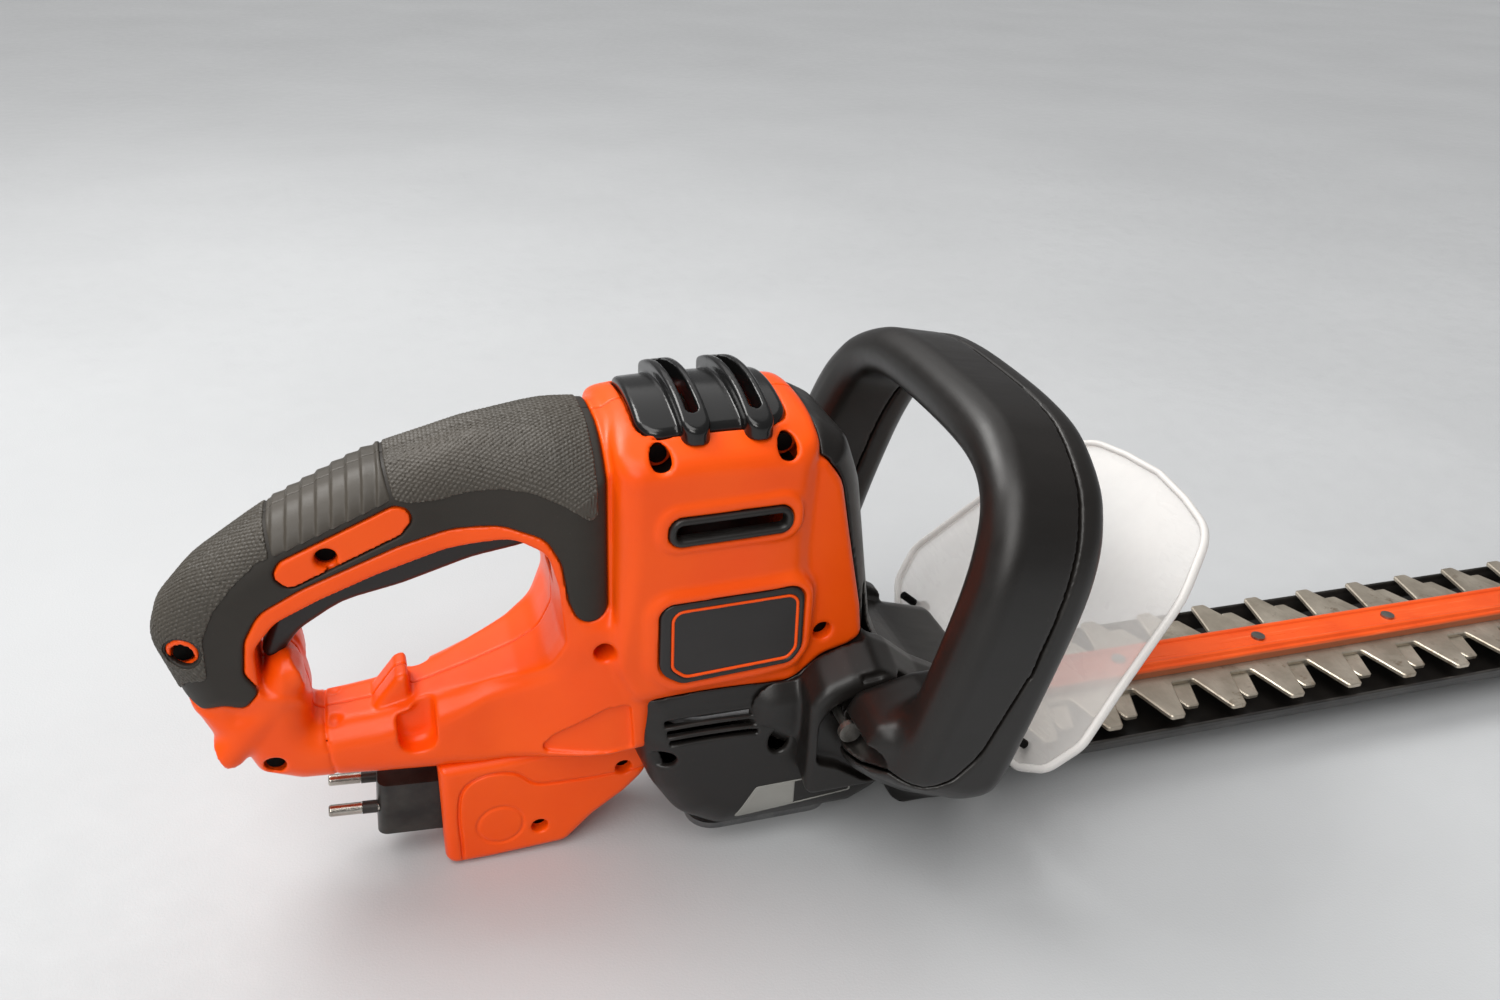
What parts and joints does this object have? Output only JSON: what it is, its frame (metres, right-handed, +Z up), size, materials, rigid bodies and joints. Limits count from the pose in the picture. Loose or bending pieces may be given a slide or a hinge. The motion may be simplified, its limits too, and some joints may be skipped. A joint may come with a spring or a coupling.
{
  "type": "hedge trimmer",
  "caption": "Electric hedge trimmer with a closed rear handle, front bale handle, hand guard, reciprocating toothed blades and a slide-on blade sheath.",
  "frame": {"origin": "on the floor, under the middle of the overall length and width, with the tool standing on its gear case", "axes": "+X along the blade towards its tip, +Y to the tool's left, +Z up"},
  "size_m": [0.909, 0.1912, 0.2145],
  "materials": {
    "orange_plastic": "satin moulded",
    "soft_grip_rubber": "soft touch",
    "screw_steel": "zinc plated",
    "black_plastic": "fine spark texture",
    "gloss_black_plastic": "gloss",
    "badge_grey": "satin",
    "label_grey": "printed",
    "pin_nickel": "nickel plated",
    "clear_guard": "milky translucent",
    "blade_steel": "ground",
    "orange_bar_paint": "painted",
    "gear_metal": "sintered",
    "cast_aluminium": "cast",
    "lamination_steel": "stacked laminations",
    "copper": "enamelled copper",
    "carbon": "carbon",
    "wire_insulation": "insulated"
  },
  "bodies": {
    "housing": {"right_housing_shell": "orange_plastic", "left_housing_shell": "orange_plastic", "right_soft_grip": "soft_grip_rubber", "left_soft_grip": "soft_grip_rubber", "right_plug_cover": "orange_plastic", "left_plug_cover": "orange_plastic", "housing_screws": "screw_steel", "plug_cover_screws": "screw_steel", "inlet_plug_body": "black_plastic", "inlet_pins": "pin_nickel", "inlet_pin_sleeves": "black_plastic", "trigger_pivot_pin": "screw_steel", "rear_switch": "black_plastic", "supply_wires": "wire_insulation", "top_vent_cover": "gloss_black_plastic", "right_vent_bezel": "black_plastic", "left_vent_bezel": "black_plastic", "right_badge_plate": "badge_grey", "left_badge_plate": "badge_grey", "gear_case": "black_plastic", "gear_case_cover": "cast_aluminium", "gear_plate": "cast_aluminium", "spindle_bushings": "screw_steel", "upper_motor_bearing": "screw_steel", "lower_motor_bearing": "screw_steel", "stator_core": "lamination_steel", "field_coils": "copper", "brush_holders": "copper", "carbon_brushes": "carbon", "brush_yoke": "black_plastic", "front_housing": "black_plastic", "front_switch": "black_plastic", "bale_handle": "black_plastic", "bail_pivot_screws": "screw_steel", "saddle_screws": "screw_steel", "hand_guard": "clear_guard", "guard_screws": "screw_steel", "support_bar": "orange_bar_paint", "blade_bolts": "screw_steel", "right_side_label": "label_grey", "left_side_label": "label_grey"},
    "rear_trigger": {"rear_trigger": "black_plastic"},
    "bail_lever": {"bail_switch_lever": "black_plastic"},
    "blade_upper": {"upper_blade": "blade_steel"},
    "blade_lower": {"lower_blade": "blade_steel"},
    "gear": {"drive_gear": "gear_metal", "gear_spindle": "screw_steel", "upper_eccentric": "gear_metal", "lower_eccentric": "gear_metal"},
    "armature": {"armature_shaft": "screw_steel", "armature_core": "lamination_steel", "armature_windings": "copper", "commutator": "copper", "cooling_fan": "black_plastic", "pinion": "gear_metal"},
    "sheath": {"blade_sheath": "black_plastic"}
  },
  "joints": [
    {"name": "rear_trigger_squeeze", "type": "hinge", "parent": "housing", "child": "rear_trigger", "pos_m": [-0.314, 0, 0.153], "axis": [0, 1, 0], "range_deg": [0, 3.5], "stiffness_Nm_per_rad": 2, "springref_deg": -5.73},
    {"name": "bail_lever_squeeze", "type": "hinge", "parent": "housing", "child": "bail_lever", "pos_m": [-0.201, 0, 0.072], "axis": [0, 1, 0], "range_deg": [0, 0.9], "stiffness_Nm_per_rad": 20, "springref_deg": -2.86},
    {"name": "gear_turn", "type": "hinge", "parent": "housing", "child": "gear", "pos_m": [-0.217, 0, 0.05], "axis": [0, 0, 1], "continuous": true},
    {"name": "armature_turn", "type": "hinge", "parent": "housing", "child": "armature", "pos_m": [-0.247, 0, 0.14], "axis": [0, 0, 1], "continuous": true},
    {"name": "upper_blade_slide", "type": "slide", "parent": "housing", "child": "blade_upper", "axis": [1, 0, 0], "range_m": [-0.007, 0.007]},
    {"name": "lower_blade_slide", "type": "slide", "parent": "housing", "child": "blade_lower", "axis": [1, 0, 0], "range_m": [-0.007, 0.007]},
    {"name": "sheath_slide", "type": "slide", "parent": "housing", "child": "sheath", "axis": [1, 0, 0], "range_m": [0, 0.58]}
  ],
  "couplings": [
    {"joint": "armature_turn", "follows": "gear_turn", "ratio": -5},
    {"joint": "lower_blade_slide", "follows": "upper_blade_slide", "ratio": -1}
  ]
}
